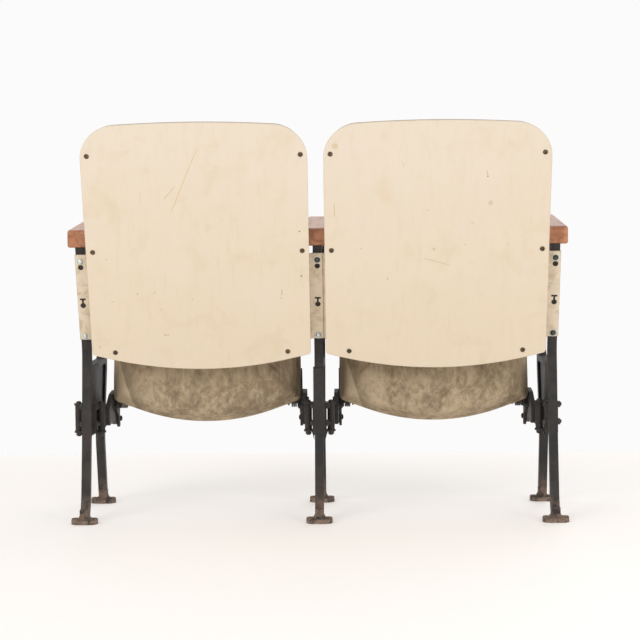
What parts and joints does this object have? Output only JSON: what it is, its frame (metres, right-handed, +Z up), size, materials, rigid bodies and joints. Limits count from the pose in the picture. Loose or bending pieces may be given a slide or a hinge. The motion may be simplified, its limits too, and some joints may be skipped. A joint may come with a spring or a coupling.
{
  "type": "tip-up auditorium seat pair",
  "caption": "Linked tip-up auditorium seats with cream backs, velvet seats, wooden armrests and cast iron standards.",
  "frame": {"origin": "on the floor, at the centre of the middle standard's four floor bolts", "axes": "+X along the row to the sitter's left, +Y to the rear, +Z up"},
  "size_m": [1.0795, 0.4211, 0.8601],
  "materials": {
    "cast_iron": "worn black paint over cast iron",
    "arm_wood": "reddish brown varnish, satin",
    "frame_wood": "raw hardwood",
    "plywood": "raw plywood",
    "cream_paint": "old cream enamel, satin",
    "pan_paint": "dark brown enamel",
    "velvet": "taupe velvet, mottled nap",
    "screw_heads": "dark bronzed steel",
    "dark_steel": "blackened steel",
    "bright_steel": "plated steel, a little worn",
    "spring_steel": "bare spring wire",
    "bush_brass": "dull brass",
    "rubber": "black rubber"
  },
  "bodies": {
    "root": {"standard_left": "cast_iron", "armrest_left": "arm_wood", "standard_middle": "cast_iron", "armrest_middle": "arm_wood", "standard_right": "cast_iron", "armrest_right": "arm_wood", "armrest_screws": "dark_steel", "back_board_left": "plywood", "back_panel_left": "cream_paint", "panel_screws_left": "screw_heads", "back_pad_left": "velvet", "back_board_right": "plywood", "back_panel_right": "cream_paint", "panel_screws_right": "screw_heads", "back_pad_right": "velvet", "back_wing_left_outer": "cream_paint", "back_wing_left_inner": "cream_paint", "back_wing_right_inner": "cream_paint", "back_wing_right_outer": "cream_paint", "wing_bolts": "bright_steel", "wing_washers": "bright_steel", "hinge_bracket_left_outer": "cast_iron", "hinge_bracket_left": "cast_iron", "hinge_bracket_middle_left": "cast_iron", "hinge_bracket_middle_right": "cast_iron", "hinge_bracket_right": "cast_iron", "spare_sleeve": "cast_iron", "hinge_knuckle_left": "cast_iron", "pivot_pin_left": "dark_steel", "hinge_knuckle_middle_left": "cast_iron", "pivot_pin_middle_left": "dark_steel", "hinge_knuckle_middle_right": "cast_iron", "pivot_pin_middle_right": "dark_steel", "hinge_knuckle_right": "cast_iron", "pivot_pin_right": "dark_steel", "swivel_bolts": "dark_steel", "bracket_bolts": "dark_steel", "bracket_nuts": "dark_steel", "stop_buffers": "rubber"},
    "seat_left": {"hinge_arm_left": "cast_iron", "lift_spring_left": "spring_steel", "hinge_arm_middle_left": "cast_iron", "lift_spring_middle_left": "spring_steel", "seat_frame_left": "frame_wood", "seat_pan_left": "pan_paint", "seat_cushion_left": "velvet", "seat_springs_left": "spring_steel", "pivot_bushes_left": "bush_brass", "hinge_screws_left": "dark_steel"},
    "seat_right": {"hinge_arm_middle_right": "cast_iron", "lift_spring_middle_right": "spring_steel", "hinge_arm_right": "cast_iron", "lift_spring_right": "spring_steel", "seat_frame_right": "frame_wood", "seat_pan_right": "pan_paint", "seat_cushion_right": "velvet", "seat_springs_right": "spring_steel", "pivot_bushes_right": "bush_brass", "hinge_screws_right": "dark_steel"}
  },
  "joints": [
    {"name": "left_seat_tip", "type": "hinge", "parent": "root", "child": "seat_left", "pos_m": [0.254, -0.085, 0.24], "axis": [1, 0, 0], "range_deg": [0, 73], "stiffness_Nm_per_rad": 6, "springref_deg": -91.67},
    {"name": "right_seat_tip", "type": "hinge", "parent": "root", "child": "seat_right", "pos_m": [-0.254, -0.085, 0.24], "axis": [1, 0, 0], "range_deg": [0, 73], "stiffness_Nm_per_rad": 6, "springref_deg": -91.67}
  ]
}
